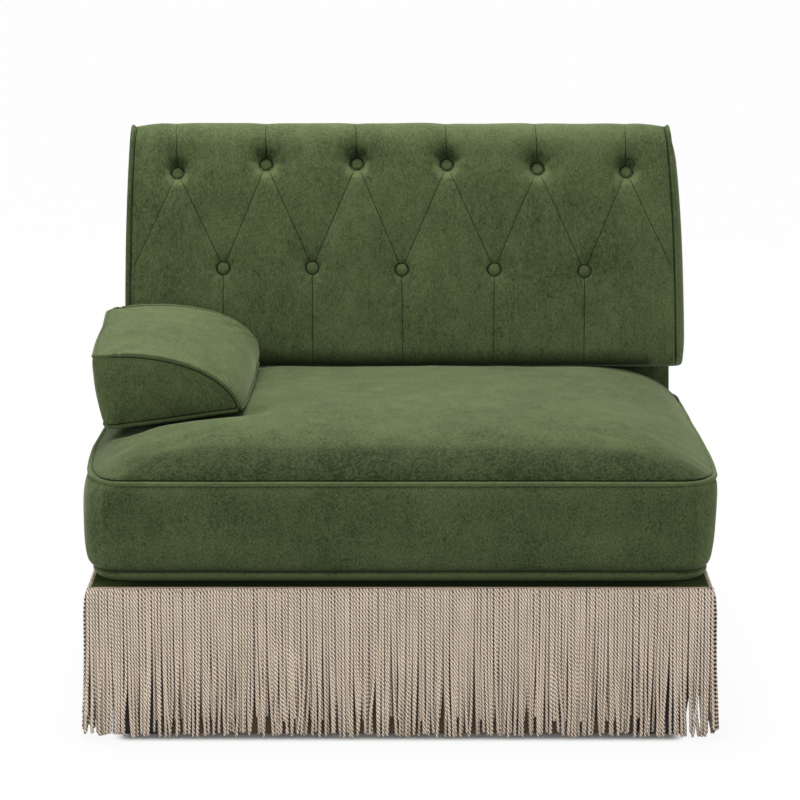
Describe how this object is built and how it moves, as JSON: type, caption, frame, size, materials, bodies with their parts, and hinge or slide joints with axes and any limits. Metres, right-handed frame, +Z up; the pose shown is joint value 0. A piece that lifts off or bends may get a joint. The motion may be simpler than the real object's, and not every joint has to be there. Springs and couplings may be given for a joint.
{
  "type": "fainting couch",
  "caption": "Velvet couch with a raked diamond-tufted back, a thick loose seat cushion, a quarter-round arm bolster at the left and a corded fringe down to the floor.",
  "frame": {"origin": "on the floor, under the middle of the whole object's box", "axes": "+X to the right as one looks at the front, +Y to the back, +Z up"},
  "size_m": [1.0146, 0.9464, 0.8907],
  "materials": {
    "green_velvet": "moss green velvet with a short brushed nap",
    "fringe_cord": "twisted beige bullion cord",
    "frame_timber": "raw sawn hardwood",
    "foot_black": "satin black lacquered wood",
    "brown_board": "plain brown board",
    "steel": "plain drawn steel",
    "dust_cloth": "black nonwoven cloth",
    "jute": "woven jute webbing"
  },
  "bodies": {
    "root": {"base_front_rail": "frame_timber", "base_back_rail": "frame_timber", "base_left_rail": "frame_timber", "base_right_rail": "frame_timber", "base_spring_rail": "frame_timber", "base_stretcher": "frame_timber", "corner_block_front_left": "frame_timber", "corner_block_front_right": "frame_timber", "corner_block_back_left": "frame_timber", "corner_block_back_right": "frame_timber", "foot_front_left": "foot_black", "foot_front_right": "foot_black", "foot_back_left": "foot_black", "foot_back_right": "foot_black", "seat_spring_1": "steel", "seat_spring_2": "steel", "seat_spring_3": "steel", "seat_spring_4": "steel", "deck_pad": "green_velvet", "border_front": "green_velvet", "border_back": "green_velvet", "border_left": "green_velvet", "border_right": "green_velvet", "dust_cover": "dust_cloth", "fringe_backing_board": "brown_board", "fringe_front": "fringe_cord", "fringe_right": "fringe_cord", "fringe_back": "fringe_cord", "fringe_left": "fringe_cord", "back_left_post": "frame_timber", "back_right_post": "frame_timber", "back_lower_rail": "frame_timber", "back_top_rail": "frame_timber", "inside_back_cover": "green_velvet", "outside_back_cover": "green_velvet", "back_left_cover": "green_velvet", "back_right_cover": "green_velvet", "back_webbing": "jute", "back_plate_left": "steel", "back_plate_right": "steel", "back_pad": "green_velvet", "tuft_button_upper_1": "green_velvet", "tuft_button_upper_2": "green_velvet", "tuft_button_upper_3": "green_velvet", "tuft_button_upper_4": "green_velvet", "tuft_button_upper_5": "green_velvet", "tuft_button_upper_6": "green_velvet", "tuft_button_lower_1": "green_velvet", "tuft_button_lower_2": "green_velvet", "tuft_button_lower_3": "green_velvet", "tuft_button_lower_4": "green_velvet", "tuft_button_lower_5": "green_velvet"},
    "seat_cushion": {"seat_cushion": "green_velvet"},
    "arm_bolster": {"arm_bolster": "green_velvet"}
  },
  "joints": [
    {"name": "seat_cushion_slide", "type": "slide", "parent": "root", "child": "seat_cushion", "axis": [0, -1, 0], "range_m": [0, 0.76]},
    {"name": "arm_bolster_lift", "type": "slide", "parent": "seat_cushion", "child": "arm_bolster", "axis": [0, 0, 1], "range_m": [0, 0.3]}
  ]
}
